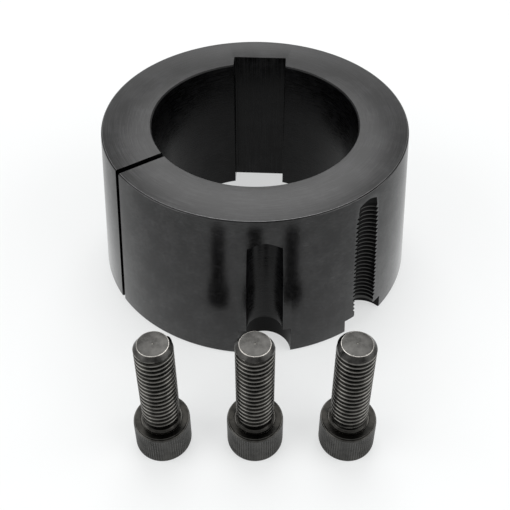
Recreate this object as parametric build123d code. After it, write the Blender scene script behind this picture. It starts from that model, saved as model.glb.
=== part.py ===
from build123d import *
import math
import os

# A split taper bush with its three cap screws, sizes in millimetres.
# The bush stands on its big end: its axis is Z and the big-end face is Z = 0.
# The screws stand on their heads in a row in front of it, at -Y.
# Angles are seen from above, counter-clockwise from the middle locking hole.

# Bush body: a ring with a taper of 4 degrees a side, thickest at the floor
BUSH_LENGTH = 63.5
BIG_END_DIAMETER = 127.0
TAPER_ANGLE = 4.0
BORE_DIAMETER = 80.0
OUTER_EDGE_CHAMFER = 0.6
BORE_EDGE_CHAMFER = 0.5

# Keyway for a 22 mm key, cut through the length of the bore
KEYWAY_WIDTH = 22.0
KEYWAY_DEPTH = 5.4
KEYWAY_CORNER_RADIUS = 0.5
KEYWAY_ANGLE = 174.0

# The slit that lets the ring close on its shaft
SLIT_WIDTH = 2.4
SLIT_ANGLE = -60.0

# Half holes round the outside, all open at the big end and parallel to the axis.
# Their centres lie on one circle, just inside the big end's rim.
HOLE_CIRCLE_DIAMETER = 124.4
DRILL_POINT_ANGLE = 118.0
HEAD_CLEARANCE = 0.75

# Three plain half holes, in which the locking screws push on the bush
LOCKING_HOLE_COUNT = 3
LOCKING_CLEARANCE = 0.8
LOCKING_HOLE_LENGTH = 51.6
LOCKING_SEAT_DEPTH = 12.0

# Two threaded half holes, which jack the bush out of its taper again
REMOVAL_ANGLES = (39.0, -159.0)
REMOVAL_HOLE_LENGTH = 59.0
REMOVAL_SEAT_DEPTH = 6.2
REMOVAL_RUNOUT = 0.8
THREAD_PITCH = 1.954
THREAD_DEPTH_PER_PITCH = 0.5413

# Cap screws, 1/2 in by 1 1/2 in, standing on the driven end of their heads
SCREW_DIAMETER = 12.7
SCREW_LENGTH = 38.1
HEAD_DIAMETER = 19.05
HEAD_HEIGHT = 12.7
HEAD_DRIVEN_CHAMFER = 0.7
WASHER_FACE_DIAMETER = 17.7
WASHER_FACE_CHAMFER = 0.7
SOCKET_SIDES = 6
SOCKET_ACROSS_FLATS = 9.525
SOCKET_DEPTH = 6.35
SOCKET_POINT_ANGLE = 120.0
TIP_FACE_DIAMETER = 10.0
TIP_LENGTH = 1.6
NECK_LENGTH = 2.6
NECK_DEPTH = 0.65

# Where the screws stand, and how far the row turns the bush from facing it
SCREW_SPACING = 31.4
SCREW_ROW_GAP = 36.6
BUSH_TURN = 3.25

# Cutters reach this far past a face that they cut through
CUT_THROUGH = 2.0

# Sizes that follow from those above
big_end_radius = BIG_END_DIAMETER / 2
small_end_radius = big_end_radius - BUSH_LENGTH * math.tan(math.radians(TAPER_ANGLE))
bore_radius = BORE_DIAMETER / 2
hole_circle_radius = HOLE_CIRCLE_DIAMETER / 2
locking_hole_radius = (SCREW_DIAMETER + LOCKING_CLEARANCE) / 2
counterbore_radius = (HEAD_DIAMETER + HEAD_CLEARANCE) / 2
thread_depth = THREAD_DEPTH_PER_PITCH * THREAD_PITCH
shank_radius = SCREW_DIAMETER / 2
tap_drill_radius = shank_radius - thread_depth
head_radius = HEAD_DIAMETER / 2


def turned(profile):
    """A closed outline in the XZ plane, turned once round the Z axis."""
    outline = Plane.XZ * make_face(Polyline(*profile, close=True))
    return revolve(outline, axis=Axis.Z)


def drill(radius, bottom, top, point_angle=DRILL_POINT_ANGLE):
    """What a twist drill removes: a cylinder with a cone above it."""
    point = radius / math.tan(math.radians(point_angle / 2))
    return turned([(0, bottom), (radius, bottom), (radius, top), (0, top + point)])


def at_angle(angle, radius=0.0):
    """A place on the bush, at an angle from the middle locking hole."""
    return Rot(0, 0, angle + BUSH_TURN - 90) * Pos(radius, 0, 0)


def tapered_ring():
    """The blank: a tapered ring with all four rims chamfered."""
    slope = math.tan(math.radians(TAPER_ANGLE))
    rim = OUTER_EDGE_CHAMFER
    lip = BORE_EDGE_CHAMFER
    return turned([
        (bore_radius + lip, 0),
        (big_end_radius - rim, 0),
        (big_end_radius - rim * slope, rim),
        (small_end_radius + rim * slope, BUSH_LENGTH - rim),
        (small_end_radius - rim, BUSH_LENGTH),
        (bore_radius + lip, BUSH_LENGTH),
        (bore_radius, BUSH_LENGTH - lip),
        (bore_radius, lip),
    ])


def keyway():
    """The slot that takes half the key, with small fillets at its floor."""
    depth = bore_radius + KEYWAY_DEPTH
    slot = Pos(depth / 2, 0) * Rectangle(depth, KEYWAY_WIDTH)
    floor_corners = slot.vertices().group_by(Axis.X)[-1]
    slot = fillet(floor_corners, KEYWAY_CORNER_RADIUS)
    cutter = extrude(slot, BUSH_LENGTH + 2 * CUT_THROUGH)
    return at_angle(KEYWAY_ANGLE) * Pos(0, 0, -CUT_THROUGH) * cutter


def slit():
    """A saw cut through one side of the ring, from end to end."""
    reach = big_end_radius + CUT_THROUGH
    height = BUSH_LENGTH + 2 * CUT_THROUGH
    cutter = Pos(reach / 2, 0, BUSH_LENGTH / 2) * Box(reach, SLIT_WIDTH, height)
    return at_angle(SLIT_ANGLE) * cutter


def counterbore(depth):
    """The flat-bottomed seat for a screw's head."""
    return turned([
        (0, -CUT_THROUGH),
        (counterbore_radius, -CUT_THROUGH),
        (counterbore_radius, depth),
        (0, depth),
    ])


def locking_hole(angle):
    """A plain half hole with its counterbore."""
    bore = drill(locking_hole_radius, -CUT_THROUGH, LOCKING_HOLE_LENGTH)
    seat = counterbore(LOCKING_SEAT_DEPTH)
    return at_angle(angle, hole_circle_radius) * (bore + seat)


def removal_hole(angle):
    """A threaded half hole at its major diameter, over its tap drill."""
    tapped = turned([
        (0, -CUT_THROUGH),
        (shank_radius, -CUT_THROUGH),
        (shank_radius, REMOVAL_HOLE_LENGTH - REMOVAL_RUNOUT - thread_depth),
        (tap_drill_radius, REMOVAL_HOLE_LENGTH - REMOVAL_RUNOUT),
        (0, REMOVAL_HOLE_LENGTH - REMOVAL_RUNOUT),
    ])
    drilled = drill(tap_drill_radius, -CUT_THROUGH, REMOVAL_HOLE_LENGTH)
    seat = counterbore(REMOVAL_SEAT_DEPTH)
    return at_angle(angle, hole_circle_radius) * (tapped + drilled + seat)


def taper_bush():
    """The split ring with its keyway, its slit and its five half holes."""
    body = tapered_ring() - keyway() - slit()
    for i in range(LOCKING_HOLE_COUNT):
        body -= locking_hole(360 * i / LOCKING_HOLE_COUNT)
    for angle in REMOVAL_ANGLES:
        body -= removal_hole(angle)
    return body


def screw_outline():
    """Half the section of a cap screw, from the driven end up to the tip."""
    washer_radius = WASHER_FACE_DIAMETER / 2
    shoulder = HEAD_HEIGHT - WASHER_FACE_CHAMFER
    neck_radius = shank_radius - NECK_DEPTH
    neck_top = HEAD_HEIGHT + NECK_LENGTH
    tip = HEAD_HEIGHT + SCREW_LENGTH
    tip_radius = TIP_FACE_DIAMETER / 2
    return [
        (0, 0),
        (head_radius - HEAD_DRIVEN_CHAMFER, 0),
        (head_radius, HEAD_DRIVEN_CHAMFER),
        (head_radius, shoulder),
        (washer_radius, HEAD_HEIGHT),
        (neck_radius, HEAD_HEIGHT),
        (neck_radius, neck_top - NECK_DEPTH),
        (shank_radius, neck_top),
        (shank_radius, tip - TIP_LENGTH),
        (tip_radius, tip),
        (0, tip),
    ]


def hex_socket():
    """The socket in the driven end: a hexagon with a drilled point above it."""
    corner = SOCKET_ACROSS_FLATS / 2 / math.cos(math.pi / SOCKET_SIDES)
    hexagon = extrude(RegularPolygon(corner, SOCKET_SIDES), SOCKET_DEPTH)
    point = drill(SOCKET_ACROSS_FLATS / 2, 0, SOCKET_DEPTH, SOCKET_POINT_ANGLE)
    return hexagon + point


def cap_screw(place):
    """One cap screw, standing on its head at its place in the row."""
    row = -(big_end_radius + SCREW_ROW_GAP)
    screw = turned(screw_outline()) - hex_socket()
    return Pos(place * SCREW_SPACING, row, 0) * screw


os.makedirs("parts", exist_ok=True)
export_step(taper_bush(), "parts/taper_bush.step")
export_step(cap_screw(-1), "parts/cap_screw_left.step")
export_step(cap_screw(0), "parts/cap_screw_middle.step")
export_step(cap_screw(1), "parts/cap_screw_right.step")
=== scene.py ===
import bpy
import bmesh
import math
from mathutils import Matrix, Vector


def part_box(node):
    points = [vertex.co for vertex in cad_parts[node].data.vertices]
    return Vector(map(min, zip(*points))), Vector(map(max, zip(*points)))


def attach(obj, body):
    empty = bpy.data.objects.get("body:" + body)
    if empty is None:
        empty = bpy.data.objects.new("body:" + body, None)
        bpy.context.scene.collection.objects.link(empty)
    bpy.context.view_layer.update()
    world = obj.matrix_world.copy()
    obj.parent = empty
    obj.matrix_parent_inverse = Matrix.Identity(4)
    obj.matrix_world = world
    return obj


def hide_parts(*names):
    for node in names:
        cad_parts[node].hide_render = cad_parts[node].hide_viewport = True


# The dressed model of a split taper bush and its three cap screws.
# The bush stands on its big end on the floor, and the screws stand on their
# heads in front of it, towards -Y. Sizes repeat the source's. They are in
# millimetres, and MM turns them into the scene's metres.

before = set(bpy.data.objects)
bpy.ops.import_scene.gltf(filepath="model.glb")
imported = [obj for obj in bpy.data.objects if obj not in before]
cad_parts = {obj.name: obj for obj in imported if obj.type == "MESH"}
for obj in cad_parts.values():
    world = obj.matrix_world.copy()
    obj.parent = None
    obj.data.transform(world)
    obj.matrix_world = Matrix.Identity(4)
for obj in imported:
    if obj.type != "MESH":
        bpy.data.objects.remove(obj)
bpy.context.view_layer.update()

MM = 0.001

# ---------------------------------------------------------------- the bush

BUSH_LENGTH = 63.5
BIG_END_R = 63.5
SLOPE = math.tan(math.radians(4.0))
SMALL_END_R = BIG_END_R - BUSH_LENGTH * SLOPE
BORE_R = 40.0
RIM = 0.6           # chamfer round the outside of both ends
LIP = 0.5           # chamfer round the bore at both ends
RING_COLUMNS = 360
INSET = 0.015       # keeps the fine facets inside the source's coarser ones

# Angles go from the middle locking hole, which is turned a little off -Y.
TURN = 3.25
KEYWAY_HALF = 11.0
KEYWAY_FLOOR = BORE_R + 5.4
KEYWAY_CORNER = 0.5
KEYWAY_CORNER_STEPS = 4
KEYWAY_ANGLE = 174.0
SLIT_HALF = 1.2
SLIT_ANGLE = -60.0
PAST = 3.0          # how far a cutter reaches past the bush

HOLE_CIRCLE_R = 62.2
HOLE_COLUMNS = 144
SEAT_R = 9.9
DRILL_HALF = math.radians(59.0)
LOCKING_R = 6.75
LOCKING_TOP = 51.6
LOCKING_SEAT = 12.0
LOCKING_ANGLES = (0.0, 120.0, 240.0)
REMOVAL_TOP = 59.0
REMOVAL_SEAT = 6.2
REMOVAL_ANGLES = (39.0, -159.0)

# ---------------------------------------------------------------- threads

PITCH = 1.954
THREAD_R = 6.35
THREAD_DEPTH = 0.5413 * PITCH
MINOR_R = THREAD_R - THREAD_DEPTH

# Profiles run up one pitch: the rise in pitches, then the depth, from 0 at
# the widest radius to 1 at the narrowest.
TAP_PROFILE = ((0.0, 1.0), (0.24, 1.0), (0.53, 0.06), (0.57, 0.0),
               (0.68, 0.0), (0.72, 0.06))
TAP_COLUMNS = 96
TAP_LEAD = 0.45     # countersink where the tap goes in
TAP_SLACK = 0.02    # what the countersink leaves outside the drilled width
TAP_START = 0.6     # plain length under the thread
TAP_END = 0.2       # plain length over it
TAP_OPENING = 0.15  # share of its depth that the thread starts with
TAP_CLOSING = 0.05  # and ends with
HAIR = 0.001        # keeps its narrowest part off the drilled wall

SCREW_PROFILE = ((0.0, 1.0), (0.13, 1.0), (0.42, 0.12), (0.5, 0.0),
                 (0.66, 0.0), (0.74, 0.12))
SCREW_TURNS = 18.0
SCREW_START = 1.0   # plain length over the head
SCREW_CREST = THREAD_R - 0.03
SCREW_DEPTH = THREAD_DEPTH * 1.08
SCREW_OPENING = 0.1   # share of its depth that the thread starts with
SCREW_GAIN = 0.9      # what it gains in its first turn
SCREW_LOSS = 2.5      # what it loses, per turn, where it ends
SLOPE_AT_NECK = 0.9   # how fast the screw's blank widens over the neck
SLOPE_AT_TIP = 0.8    # and narrows to the tip

# ---------------------------------------------------------------- the screws

HEAD_R = 9.525
HEAD_H = 12.7
WASHER_R = 8.85
WASHER_STEP = 0.44  # how far the washer face stands proud of the head
RECESS = 0.14       # depth of the groove inside the washer face
TIP_Z = HEAD_H + 38.1
TIP_R = 5.0
NECK_R = 5.7
NECK_TOP = HEAD_H + 2.6
HEX_FLAT_R = 9.525 / 2
SOCKET_DEPTH = 6.35
SOCKET_LEAD = 0.45
SOCKET_FLOOR = 0.985  # share of the socket's width that the drill's cone takes
KNURL_TEETH = 72
KNURL_DEPTH = 0.24
KNURL_INSET = 0.003   # keeps the teeth inside the source's facets
SCREW_COLUMNS = 2 * KNURL_TEETH
SCREW_ANGLES = {
    "cap_screw_left": 40,
    "cap_screw_middle": 0,
    "cap_screw_right": 205,
}

# Finishes, by the order of the materials on the bush and on a screw; some of them
# carry painted shade or painted highlights.
GROUND, FACED, BORED, WORN, KEYED, TAPPED_CREST_GLINT, TAPPED = range(7)
OXIDE, RUBBED_AND_HIGHLIGHT, PAINTED_SHADE, PAINTED_HIGHLIGHT, TIP = range(5)
NEAR = 0.05           # room round a cut, in telling its faces from others
SQUARE = 0.99         # how much of a normal lies along what it faces


# ---------------------------------------------------------------- meshes

def new_object(name, bm, sharp_angle=30.0):
    """A mesh object, smooth but for the edges sharper than the angle."""
    bmesh.ops.recalc_face_normals(bm, faces=bm.faces)
    limit = math.radians(sharp_angle)
    for face in bm.faces:
        face.smooth = True
    for edge in bm.edges:
        if len(edge.link_faces) == 2:
            edge.smooth = edge.calc_face_angle(0.0) < limit
    mesh = bpy.data.meshes.new(name)
    bm.to_mesh(mesh)
    bm.free()
    obj = bpy.data.objects.new(name, mesh)
    bpy.context.scene.collection.objects.link(obj)
    return obj


def spot(bm, radius, angle, z):
    """A vertex at a radius and an angle, given in millimetres."""
    return bm.verts.new((radius * math.cos(angle) * MM,
                         radius * math.sin(angle) * MM, z * MM))


def ring(bm, columns, radius, z):
    """A closed ring of vertices; radius is a number or goes by column."""
    step = 2 * math.pi / columns
    return [spot(bm, radius(i) if callable(radius) else radius, i * step, z)
            for i in range(columns)]


def bridge(bm, low, high):
    """The faces between two rings of equal count."""
    n = len(low)
    for i in range(n):
        j = (i + 1) % n
        bm.faces.new((low[i], low[j], high[j], high[i]))


def fan(bm, loop, z):
    """Closes a ring with triangles to a point on the axis."""
    middle = bm.verts.new((0, 0, z * MM))
    n = len(loop)
    for i in range(n):
        bm.faces.new((loop[i], loop[(i + 1) % n], middle))


def stack(bm, columns, outline):
    """Rings up an outline of (radius, z), bridged one to the next."""
    rings = [ring(bm, columns, radius, z) for radius, z in outline]
    for low, high in zip(rings, rings[1:]):
        bridge(bm, low, high)
    return rings[0], rings[-1]


def helix(bm, columns, turns, z_start, profile, radius_at, below, above):
    """A thread, swept as one strip, and sewn to the rings below and above.

    radius_at(z, depth, turn) gives the radius of a point of the profile.
    """
    count = int(turns * columns)
    rows = []
    for n in range(count + 1):
        turn = n / columns
        angle = 2 * math.pi * turn
        row = []
        for rise, depth in profile:
            z = z_start + PITCH * (turn + rise)
            row.append(spot(bm, radius_at(z, depth, turn), angle, z))
        rows.append(row)
    # The strip, and the faces from each turn to the one over it.
    for n in range(count):
        here, there = rows[n], rows[n + 1]
        for k in range(len(profile) - 1):
            bm.faces.new((here[k], there[k], there[k + 1], here[k + 1]))
        if n + columns < count:
            over, beyond = rows[n + columns], rows[n + columns + 1]
            bm.faces.new((here[-1], there[-1], beyond[0], over[0]))
    # The first turn's lower edge to the ring below, and the strip's first end.
    for i in range(columns - 1):
        bm.faces.new((below[i], below[i + 1], rows[i + 1][0], rows[i][0]))
    bm.faces.new((below[-1], below[0], rows[0][0], rows[columns][0],
                  rows[columns - 1][0]))
    bm.faces.new(list(rows[0]) + [rows[columns][0]])
    # The last turn's upper edge to the ring above, and the strip's last end.
    first = count - columns
    shift = first % columns
    for i in range(columns):
        a, b = above[(shift + i) % columns], above[(shift + i + 1) % columns]
        low, next_low = rows[first + i][-1], rows[first + i + 1][-1]
        if i == 0:
            bm.faces.new((low, next_low, b, a, rows[count][-1]))
        else:
            bm.faces.new((low, next_low, b, a))
    bm.faces.new([rows[first][-1]] + list(rows[count]))


# ---------------------------------------------------------------- the bush's mesh

def bearing(angle):
    """The direction, in radians from +X, of an angle from the middle hole."""
    return math.radians(angle + TURN - 90)


def drill_point(radius):
    """How far a drill's cone reaches past its full width."""
    return radius / math.tan(DRILL_HALF)


def bush_blank():
    """The tapered ring with its four rims chamfered."""
    bm = bmesh.new()
    first, last = stack(bm, RING_COLUMNS, [
        (BORE_R, LIP),
        (BORE_R + LIP, 0),
        (BIG_END_R - RIM, 0),
        (BIG_END_R - RIM * SLOPE - INSET, RIM),
        (SMALL_END_R + RIM * SLOPE, BUSH_LENGTH - RIM),
        # The upper rim is a little rounded.
        (SMALL_END_R - 0.12, BUSH_LENGTH - 0.3),
        (SMALL_END_R - RIM + 0.1, BUSH_LENGTH - 0.05),
        (SMALL_END_R - RIM, BUSH_LENGTH),
        (BORE_R + LIP, BUSH_LENGTH),
        (BORE_R, BUSH_LENGTH - LIP),
    ])
    bridge(bm, last, first)
    return new_object("blank", bm)


def place_on_bush(obj, angle, radius=0.0):
    """Moves a cutter to its angle and its distance from the axis."""
    turn = Matrix.Rotation(bearing(angle), 4, "Z")
    move = Matrix.Translation((radius * MM, 0, 0))
    obj.data.transform(turn @ move)
    return obj


def prism(name, outline):
    """An upright prism over an outline of (x, y), through the whole bush."""
    bm = bmesh.new()
    low, high = ([bm.verts.new((x * MM, y * MM, z * MM)) for x, y in outline]
                 for z in (-PAST, BUSH_LENGTH + PAST))
    bridge(bm, low, high)
    bm.faces.new(low[::-1])
    bm.faces.new(high)
    return new_object(name, bm)


def keyway_cutter():
    """The slot for the key, with small fillets at its floor."""
    quarter = math.pi / 2
    outline = [(0, -KEYWAY_HALF)]
    for side in (-1, 1):
        centre_x = KEYWAY_FLOOR - KEYWAY_CORNER
        centre_y = side * (KEYWAY_HALF - KEYWAY_CORNER)
        for i in range(KEYWAY_CORNER_STEPS + 1):
            t = i / KEYWAY_CORNER_STEPS * quarter
            t = t - quarter if side < 0 else t
            outline.append((centre_x + KEYWAY_CORNER * math.cos(t),
                            centre_y + KEYWAY_CORNER * math.sin(t)))
    outline.append((0, KEYWAY_HALF))
    return place_on_bush(prism("key", outline), KEYWAY_ANGLE)


def slit_cutter():
    """The saw cut through one side."""
    reach = BIG_END_R + PAST
    outline = [(0, -SLIT_HALF), (reach, -SLIT_HALF),
               (reach, SLIT_HALF), (0, SLIT_HALF)]
    return place_on_bush(prism("saw", outline), SLIT_ANGLE)


def locking_cutter(angle):
    """A drilled hole over a counterbore."""
    bm = bmesh.new()
    low, high = stack(bm, HOLE_COLUMNS, [(SEAT_R, -PAST), (SEAT_R, LOCKING_SEAT),
                                         (LOCKING_R, LOCKING_SEAT),
                                         (LOCKING_R, LOCKING_TOP)])
    fan(bm, low, -PAST)
    fan(bm, high, LOCKING_TOP + drill_point(LOCKING_R))
    return place_on_bush(new_object("drill", bm), angle, HOLE_CIRCLE_R)


def removal_cutter(angle):
    """A tapped hole over a counterbore, with its thread cut as a real one."""
    bm = bmesh.new()
    low, seat = stack(bm, TAP_COLUMNS, [
        (SEAT_R, -PAST),
        (SEAT_R, REMOVAL_SEAT),
        (MINOR_R + TAP_LEAD, REMOVAL_SEAT),
        (MINOR_R + TAP_SLACK, REMOVAL_SEAT + TAP_LEAD - TAP_SLACK),
    ])
    end, high = stack(bm, TAP_COLUMNS, [(MINOR_R, REMOVAL_TOP),
                                        (MINOR_R, REMOVAL_TOP + 0.1)])
    fan(bm, low, -PAST)
    fan(bm, high, REMOVAL_TOP + drill_point(MINOR_R))
    z_start = REMOVAL_SEAT + TAP_START
    room = REMOVAL_TOP - TAP_END - z_start
    turns = math.floor(room / PITCH - 1)

    def radius_at(z, depth, turn):
        opening = TAP_OPENING + turn
        closing = TAP_CLOSING + (turns - turn) / 2
        share = (1 - depth) * min(1.0, opening, closing)
        return MINOR_R + THREAD_DEPTH * share + HAIR

    helix(bm, TAP_COLUMNS, turns, z_start, TAP_PROFILE, radius_at, seat, end)
    return place_on_bush(new_object("tap", bm), angle, HOLE_CIRCLE_R)


def cut(body, cutters):
    """Takes the cutters out of the body, and returns the new mesh."""
    for cutter in cutters:
        step = body.modifiers.new("cut", "BOOLEAN")
        step.operation = "DIFFERENCE"
        step.solver = "EXACT"
        step.object = cutter
    bpy.context.view_layer.update()
    graph = bpy.context.evaluated_depsgraph_get()
    mesh = bpy.data.meshes.new_from_object(body.evaluated_get(graph))
    body.modifiers.clear()
    for cutter in cutters:
        bpy.data.meshes.remove(cutter.data)
    return mesh


def make_bush():
    """The bush, cut from its blank in the order a shop would."""
    weld = 0.0000005
    blank = bush_blank()
    cutters = [keyway_cutter(), slit_cutter()]
    cutters += [locking_cutter(angle) for angle in LOCKING_ANGLES]
    cutters += [removal_cutter(angle) for angle in REMOVAL_ANGLES]
    mesh = cut(blank, cutters)
    bpy.data.meshes.remove(blank.data)
    bm = bmesh.new()
    bm.from_mesh(mesh)
    bpy.data.meshes.remove(mesh)
    bmesh.ops.remove_doubles(bm, verts=bm.verts, dist=weld)
    return new_object("bush_body", bm)


def from_hole(x, y, angle):
    """How far a point is from the axis of the hole at an angle."""
    turn = bearing(angle)
    return math.hypot(x - HOLE_CIRCLE_R * math.cos(turn),
                      y - HOLE_CIRCLE_R * math.sin(turn))


def hole_surface(x, y, z):
    """The finish of a point in a counterbore or a tapped hole, else None."""
    for angle in LOCKING_ANGLES:
        if from_hole(x, y, angle) < SEAT_R + NEAR and z < LOCKING_SEAT:
            return TAPPED
    for angle in REMOVAL_ANGLES:
        off = from_hole(x, y, angle)
        if off < SEAT_R + NEAR and z < REMOVAL_SEAT + 0.1:
            return TAPPED
        if off < THREAD_R + NEAR:
            # The tapped thread's crests take bare-metal colour as a painted glint.
            on_crest = off < MINOR_R + 0.08 and z < REMOVAL_TOP - 1
            return TAPPED_CREST_GLINT if on_crest else TAPPED
    return None


def surface_of(face):
    """Which of the bush's finishes a face has, by where it lies and faces."""
    x, y, z = face.center / MM
    radius = math.hypot(x, y)
    facing = face.normal.x * x + face.normal.y * y
    if abs(face.normal.z) > SQUARE:
        return FACED
    if z > BUSH_LENGTH - 0.1 and facing > 0:
        return WORN
    if radius > BIG_END_R - z * SLOPE - 1.0 and facing > 0.6 * radius:
        if facing > SQUARE * radius or z < 1 or z > BUSH_LENGTH - 1:
            return GROUND
    in_hole = hole_surface(x, y, z)
    if in_hole is not None:
        return in_hole
    turn = bearing(KEYWAY_ANGLE)
    ahead = x * math.cos(turn) + y * math.sin(turn)
    in_keyway = ahead > BORE_R - 2 and radius > BORE_R + NEAR
    return KEYED if in_keyway else BORED


# ---------------------------------------------------------------- a screw's mesh

def hexagon(i):
    """The socket's radius at a column."""
    turn = (i * 360 / SCREW_COLUMNS) % 60 - 30
    return HEX_FLAT_R / math.cos(math.radians(turn))


def lead_in(i):
    """The socket's radius at its mouth, rounded by a countersink."""
    return max(hexagon(i), HEX_FLAT_R + SOCKET_LEAD)


def knurl(i):
    """The head's radius along the knurl: every second column is a groove."""
    return HEAD_R - (KNURL_DEPTH if i % 2 else KNURL_INSET)


def knurl_end(i):
    """The head's radius where the knurl runs out."""
    return HEAD_R - (KNURL_DEPTH / 2 if i % 2 else 0.04)


def screw_thread_radius(z, depth, turn):
    """A point of the screw's thread, held inside the pointed blank."""
    rising = NECK_R + (z - NECK_TOP + 1.2) * SLOPE_AT_NECK
    falling = TIP_R + 0.1 + (TIP_Z - z) * SLOPE_AT_TIP
    blank = max(TIP_R + 0.14, min(SCREW_CREST, rising, falling))
    opening = SCREW_OPENING + turn * SCREW_GAIN
    closing = (SCREW_TURNS - turn) * SCREW_LOSS
    groove = min(1.0, opening, closing)
    return min(blank, SCREW_CREST - depth * SCREW_DEPTH * groove)


def make_screw_mesh():
    """One cap screw about its own axis: socket, knurled head, neck and thread."""
    bm = bmesh.new()
    cone_r = HEX_FLAT_R * SOCKET_FLOOR
    washer_foot = HEAD_H - WASHER_STEP
    low, neck = stack(bm, SCREW_COLUMNS, [
        # The socket, from the rim of its cone to its mouth.
        (cone_r, SOCKET_DEPTH),
        (hexagon, SOCKET_DEPTH),
        (hexagon, 0.35),
        (lead_in, 0.0),
        # The rounded edge that the screw stands on, and the knurl.
        (HEAD_R - 0.95, 0.0),
        (HEAD_R - 0.5, 0.14),
        (HEAD_R - 0.17, 0.48),
        (HEAD_R - 0.08, 0.85),
        (knurl_end, 0.95),
        (knurl, 1.25),
        (knurl, HEAD_H - 1.35),
        (knurl_end, HEAD_H - 1.05),
        (HEAD_R - 0.08, HEAD_H - 0.95),
        (HEAD_R - 0.12, HEAD_H - 0.62),
        (HEAD_R - 0.3, washer_foot),
        # The washer face, the groove inside it and the neck.
        (WASHER_R + 0.12, washer_foot),
        (WASHER_R + 0.04, HEAD_H - 0.04),
        (WASHER_R - 0.04, HEAD_H),
        (THREAD_R + 0.75, HEAD_H),
        (THREAD_R + 0.5, HEAD_H - RECESS),
        (THREAD_R + 0.12, HEAD_H - RECESS),
        (NECK_R + 0.25, HEAD_H + 0.05),
        (NECK_R, HEAD_H + 0.45),
        (NECK_R, HEAD_H + 0.9),
    ])
    fan(bm, low, SOCKET_DEPTH + cone_r * math.tan(math.radians(30)))
    end, tip = stack(bm, SCREW_COLUMNS, [
        (TIP_R + 0.12, TIP_Z - 0.12),
        (TIP_R + 0.03, TIP_Z - 0.03),
        (TIP_R - 0.1, TIP_Z),
        # The small dimple in the middle of the tip.
        (0.45, TIP_Z),
        (0.25, TIP_Z - 0.08),
    ])
    fan(bm, tip, TIP_Z - 0.14)
    helix(bm, SCREW_COLUMNS, SCREW_TURNS, HEAD_H + SCREW_START, SCREW_PROFILE,
          screw_thread_radius, neck, end)
    obj = new_object("screw_mesh", bm, 18.0)
    mesh = obj.data
    bpy.data.objects.remove(obj)
    return mesh


def screw_surface(face):
    """Which of the screw's finishes a face has, by where it lies."""
    radius = math.hypot(face.center.x, face.center.y) / MM
    z = face.center.z / MM
    if z > TIP_Z - 0.1 and radius > TIP_R - 0.12:
        return RUBBED_AND_HIGHLIGHT
    # A painted highlight: bare-metal colour on the ring at the edge of the groove
    # inside the washer face.
    in_groove_edge = THREAD_R + 0.5 < radius < THREAD_R + 0.75
    if abs(z - HEAD_H + RECESS / 2) < 0.06 and in_groove_edge:
        return RUBBED_AND_HIGHLIGHT
    # The middle of the tip's dimple takes the painted highlight.
    if z > TIP_Z - 0.25:
        return PAINTED_HIGHLIGHT if radius < 0.4 else TIP
    if z > TIP_Z - 1.45:
        return TIP
    # The washer face takes the painted shade: darker oxide colour standing in for
    # shade.
    if abs(z - HEAD_H) < 0.01:
        return PAINTED_SHADE
    # Thread crests take the painted highlight; roots and flanks take the painted
    # shade.
    if z > HEAD_H + 0.9:
        return PAINTED_HIGHLIGHT if radius > THREAD_R - 0.17 else PAINTED_SHADE
    return OXIDE


# ---------------------------------------------------------------- finishes

def material(name):
    """An empty node material with its shader."""
    mat = bpy.data.materials.new(name)
    mat.use_nodes = True
    nodes, links = mat.node_tree.nodes, mat.node_tree.links
    return mat, nodes, links, nodes["Principled BSDF"]


def add(nodes, kind, **settings):
    """A node, with its properties set."""
    node = nodes.new(kind)
    for key, value in settings.items():
        setattr(node, key, value)
    return node


def blend_by(nodes, links, mask, low, high, start=0.0, end=1.0):
    """A number that goes from low to high as the mask goes from start to end."""
    span = add(nodes, "ShaderNodeMapRange")
    span.inputs["From Min"].default_value = start
    span.inputs["From Max"].default_value = end
    span.inputs["To Min"].default_value = low
    span.inputs["To Max"].default_value = high
    links.new(mask, span.inputs["Value"])
    return span.outputs["Result"]


def noise(nodes, links, vector, scale, detail, rough):
    """A cloud of noise over the coordinates."""
    cloud = add(nodes, "ShaderNodeTexNoise")
    cloud.inputs["Scale"].default_value = scale
    cloud.inputs["Detail"].default_value = detail
    cloud.inputs["Roughness"].default_value = rough
    links.new(vector, cloud.inputs["Vector"])
    return cloud.outputs["Fac"]


def stretched(nodes, links, vector, scale):
    """The coordinates, scaled along each axis."""
    warp = add(nodes, "ShaderNodeMapping")
    warp.inputs["Scale"].default_value = scale
    links.new(vector, warp.inputs["Vector"])
    return warp.outputs["Vector"]


def tinted(nodes, links, mask, low, high):
    """A colour that goes from low to high as the mask goes from 0 to 1."""
    tone = add(nodes, "ShaderNodeValToRGB")
    tone.color_ramp.elements[0].color = (*low, 1)
    tone.color_ramp.elements[1].color = (*high, 1)
    links.new(mask, tone.inputs["Fac"])
    return tone.outputs["Color"]


def turned_lines(nodes, links, vector):
    """Coordinates that run along circles round the Z axis, as a lathe's marks do."""
    along = 0.0016
    flat = stretched(nodes, links, vector, (1, 1, 0))
    radius = add(nodes, "ShaderNodeVectorMath", operation="LENGTH")
    links.new(flat, radius.inputs[0])
    unit = add(nodes, "ShaderNodeVectorMath", operation="NORMALIZE")
    links.new(flat, unit.inputs[0])
    slow = stretched(nodes, links, unit.outputs["Vector"], (along, along, 0))
    parts = add(nodes, "ShaderNodeSeparateXYZ")
    links.new(slow, parts.inputs["Vector"])
    joined = add(nodes, "ShaderNodeCombineXYZ")
    links.new(radius.outputs["Value"], joined.inputs["X"])
    links.new(parts.outputs["X"], joined.inputs["Y"])
    links.new(parts.outputs["Y"], joined.inputs["Z"])
    return joined.outputs["Vector"]


def bumped(nodes, links, shader, height, strength):
    """Small relief on the shader, a tenth of a millimetre high at full strength."""
    bump = add(nodes, "ShaderNodeBump")
    bump.inputs["Strength"].default_value = strength
    bump.inputs["Distance"].default_value = 0.1 * MM
    links.new(height, bump.inputs["Height"])
    links.new(bump.outputs["Normal"], shader.inputs["Normal"])


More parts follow.
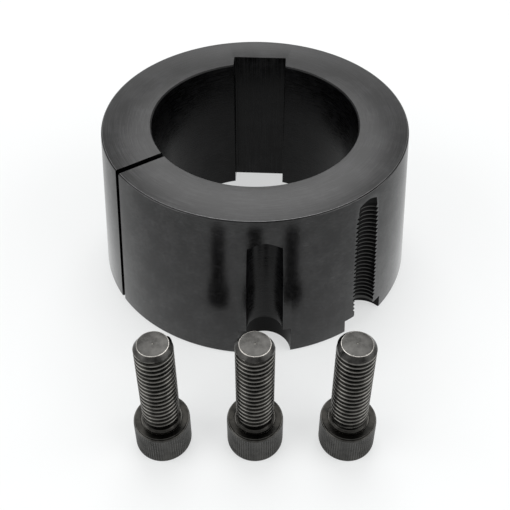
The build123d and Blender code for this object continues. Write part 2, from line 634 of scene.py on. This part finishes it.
def blackened_iron(name, skin, roughness, tones, relief, lay, oil=0.0):
    """Cast iron under a thin black finish, with machining marks along one lay.

    skin is the finish's index of refraction, and oil the share of oil on it.
    lay stretches the marks along the axes, or turns them round Z.
    """
    mat, nodes, links, shader = material(name)
    place = add(nodes, "ShaderNodeTexCoord").outputs["Object"]
    if lay == "turned":
        path = turned_lines(nodes, links, place)
    else:
        path = stretched(nodes, links, place, lay)
    marks = noise(nodes, links, path, scale=2600, detail=3.0, rough=0.6)
    cloud = noise(nodes, links, place, scale=110, detail=9.0, rough=0.68)
    both = add(nodes, "ShaderNodeMix", data_type="FLOAT")
    both.inputs["Factor"].default_value = 0.5
    links.new(cloud, both.inputs["A"])
    links.new(marks, both.inputs["B"])
    mask = blend_by(nodes, links, both.outputs["Result"], 0.0, 1.0,
                    start=0.46, end=0.66)
    sheen = blend_by(nodes, links, mask, 0.46, 0.6)
    shader.inputs["IOR"].default_value = skin
    links.new(tinted(nodes, links, mask, *tones), shader.inputs["Base Color"])
    links.new(blend_by(nodes, links, mask, *roughness), shader.inputs["Roughness"])
    links.new(sheen, shader.inputs["Specular IOR Level"])
    if oil:
        film = blend_by(nodes, links, mask, oil * 0.9, oil * 1.25)
        links.new(film, shader.inputs["Coat Weight"])
        shader.inputs["Coat Roughness"].default_value = 0.18
    bumped(nodes, links, shader, marks, relief)
    if lay == "turned":
        shader.inputs["Anisotropic"].default_value = 0.9
        around = add(nodes, "ShaderNodeTangent", direction_type="RADIAL", axis="Z")
        links.new(around.outputs["Tangent"], shader.inputs["Tangent"])
    return mat


def worn_edge(name, colour):
    """Bare metal that shows through along a worn edge, in broken patches; laid on
    thread crests and on one groove's edge, it is a painted highlight.
    """
    mat, nodes, links, shader = material(name)
    place = add(nodes, "ShaderNodeTexCoord").outputs["Object"]
    patches = noise(nodes, links, place, scale=420, detail=4.0, rough=0.7)
    shade = tinted(nodes, links, patches, (0.03, 0.03, 0.03), colour)
    shader.inputs["Metallic"].default_value = 1.0
    shader.inputs["Roughness"].default_value = 0.32
    links.new(shade, shader.inputs["Base Color"])
    return mat


def black_oxide(name, low, high):
    """Steel with a brownish black oxide."""
    mat, nodes, links, shader = material(name)
    place = add(nodes, "ShaderNodeTexCoord").outputs["Object"]
    cloud = noise(nodes, links, place, scale=300, detail=6.0, rough=0.6)
    mask = blend_by(nodes, links, cloud, 0.0, 1.0, start=0.34, end=0.66)
    shader.inputs["Metallic"].default_value = 1.0
    links.new(tinted(nodes, links, mask, low, high), shader.inputs["Base Color"])
    links.new(blend_by(nodes, links, cloud, 0.2, 0.36), shader.inputs["Roughness"])
    return mat


def bush_finishes():
    """The bush's materials, in the order of the finishes' numbers."""
    iron = blackened_iron(
        "blackened_iron", skin=1.3, roughness=(0.2, 0.28),
        tones=((0.0002, 0.0002, 0.0004), (0.008, 0.008, 0.0085)),
        relief=0.08, lay=(0.25, 0.25, 1), oil=0.55)
    faced = blackened_iron(
        "blackened_iron_faced", skin=1.45, roughness=(0.32, 0.42),
        tones=((0.0015, 0.0015, 0.0016), (0.019, 0.019, 0.02)),
        relief=0.4, lay="turned")
    bored = blackened_iron(
        "blackened_iron_bored", skin=1.25, roughness=(0.26, 0.4),
        tones=((0.0001, 0.0001, 0.0002), (0.0035, 0.0035, 0.004)),
        relief=0.2, lay=(0.08, 0.08, 1))
    keyed = blackened_iron(
        "blackened_iron_keyed", skin=1.25, roughness=(0.22, 0.4),
        tones=((0.0001, 0.0001, 0.0002), (0.009, 0.009, 0.0095)),
        relief=0.3, lay=(1, 1, 0.02))
    tapped = blackened_iron(
        "blackened_iron_tapped", skin=1.16, roughness=(0.4, 0.5),
        tones=((0.0001, 0.0001, 0.0001), (0.0015, 0.0015, 0.0015)),
        relief=0.1, lay=(1, 1, 1))
    worn = worn_edge("blackened_iron_worn", (0.34, 0.34, 0.34))
    # Painted glint: bare-metal colour on the tapped thread's crests.
    tapped_crest = worn_edge("blackened_iron_crest_painted_glint", (0.06, 0.06, 0.056))
    return iron, faced, bored, worn, keyed, tapped_crest, tapped


def screw_finishes():
    """The screws' materials, in the order of the finishes' numbers."""
    oxide = black_oxide("black_oxide_steel",
                        (0.018, 0.0175, 0.016), (0.05, 0.0485, 0.045))
    # Worn bare metal at the tip's rim, and a painted highlight on the edge of the
    # groove inside the washer face.
    rubbed_and_highlight = worn_edge("black_oxide_worn_and_highlight", (0.46, 0.44, 0.41))
    # Painted shade: darker oxide colour on the thread's roots and flanks and on the
    # washer face.
    root = black_oxide("black_oxide_roots_painted_shade",
                       (0.007, 0.007, 0.0066), (0.022, 0.021, 0.019))
    # Painted highlight: lighter oxide colour on the thread's crests and in the tip's
    # dimple.
    crest = black_oxide("black_oxide_crests_painted_highlight",
                        (0.07, 0.068, 0.063), (0.15, 0.146, 0.135))
    tip = black_oxide("black_oxide_tips",
                      (0.02, 0.0195, 0.0185), (0.052, 0.051, 0.0485))
    return oxide, rubbed_and_highlight, root, crest, tip


def dress(mesh, finishes, pick):
    """Gives a mesh its materials, and each face the one that pick names."""
    mesh.materials.clear()
    for finish in finishes:
        mesh.materials.append(finish)
    for face in mesh.polygons:
        face.material_index = pick(face)


# ---------------------------------------------------------------- assembly

bush = make_bush()
dress(bush.data, bush_finishes(), surface_of)
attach(bush, "root")
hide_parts("taper_bush")

screw_mesh = make_screw_mesh()
dress(screw_mesh, screw_finishes(), screw_surface)
for node, turn in SCREW_ANGLES.items():
    low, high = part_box(node)
    screw = bpy.data.objects.new(node + "_body", screw_mesh.copy())
    bpy.context.scene.collection.objects.link(screw)
    screw.data.transform(Matrix.Rotation(math.radians(turn), 4, "Z"))
    screw.location = ((low.x + high.x) / 2, (low.y + high.y) / 2, 0)
    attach(screw, "root")
    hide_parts(node)


# ---------------------------------------------------------------- stage

FLOOR_HALF = 12.0
LAMP_AIM = Vector((0, -0.02, 0.03))
CAMERA_PLACE = (0, -0.26351, 0.25091)
CAMERA_DOWN = 41.23


def looked_at(nodes, links, plain, seen, mirrored):
    """A number that is plain, but higher for what is seen or mirrored."""
    path = add(nodes, "ShaderNodeLightPath")
    either = add(nodes, "ShaderNodeMath", operation="MAXIMUM")
    links.new(blend_by(nodes, links, path.outputs["Is Camera Ray"], plain, seen),
              either.inputs[0])
    links.new(blend_by(nodes, links, path.outputs["Is Glossy Ray"], plain, mirrored),
              either.inputs[1])
    return either.outputs["Value"]


def make_floor():
    """A wide pale floor, lifted towards white where it is looked at."""
    bm = bmesh.new()
    bm.faces.new([bm.verts.new((x * FLOOR_HALF, y * FLOOR_HALF, 0))
                  for x, y in ((-1, -1), (1, -1), (1, 1), (-1, 1))])
    floor = new_object("floor", bm)
    mat, nodes, links, shader = material("floor")
    shader.inputs["Base Color"].default_value = (0.9, 0.91, 0.91, 1)
    shader.inputs["Roughness"].default_value = 0.6
    shader.inputs["Specular IOR Level"].default_value = 0.2
    glow = add(nodes, "ShaderNodeEmission")
    glow.inputs["Color"].default_value = (0.92, 0.93, 0.93, 1)
    blend = add(nodes, "ShaderNodeMixShader")
    share = looked_at(nodes, links, plain=0.0, seen=0.6, mirrored=0.8)
    links.new(share, blend.inputs[0])
    links.new(shader.outputs["BSDF"], blend.inputs[1])
    links.new(glow.outputs["Emission"], blend.inputs[2])
    links.new(blend.outputs["Shader"], nodes["Material Output"].inputs["Surface"])
    floor.data.materials.append(mat)


def make_world():
    """An even surround, white where it is looked at."""
    world = bpy.data.worlds.new("studio")
    bpy.context.scene.world = world
    world.use_nodes = True
    nodes, links = world.node_tree.nodes, world.node_tree.links
    sky = nodes["Background"]
    sky.inputs["Color"].default_value = (1.0, 1.0, 1.0, 1)
    strength = looked_at(nodes, links, plain=0.42, seen=0.98, mirrored=0.98)
    links.new(strength, sky.inputs["Strength"])


def make_lamp(name, place, size, power):
    """A soft box that faces the bush."""
    data = bpy.data.lights.new(name, "AREA")
    data.shape = "SQUARE"
    data.size = size
    data.energy = power
    lamp = bpy.data.objects.new(name, data)
    bpy.context.scene.collection.objects.link(lamp)
    lamp.location = place
    aim = LAMP_AIM - Vector(place)
    lamp.rotation_mode = "QUATERNION"
    lamp.rotation_quaternion = aim.to_track_quat("-Z", "Y")


def make_camera():
    """Close in front, looking down, with the frame set a little below its axis."""
    data = bpy.data.cameras.new("camera")
    data.sensor_width = 36
    data.lens = 58.74
    data.shift_y = -0.1
    data.clip_start = 0.01
    camera = bpy.data.objects.new("camera", data)
    bpy.context.scene.collection.objects.link(camera)
    camera.location = CAMERA_PLACE
    camera.rotation_euler = (math.radians(90 - CAMERA_DOWN), 0, 0)
    bpy.context.scene.camera = camera


make_floor()
make_world()
make_lamp("back", place=(0.0, 0.65, 1.15), size=0.85, power=9.0)
make_lamp("left", place=(-1.0, -0.35, 0.65), size=1.2, power=9.0)
make_lamp("right", place=(1.0, -0.35, 0.65), size=1.2, power=9.0)
make_camera()

bpy.context.scene.view_settings.view_transform = "Standard"
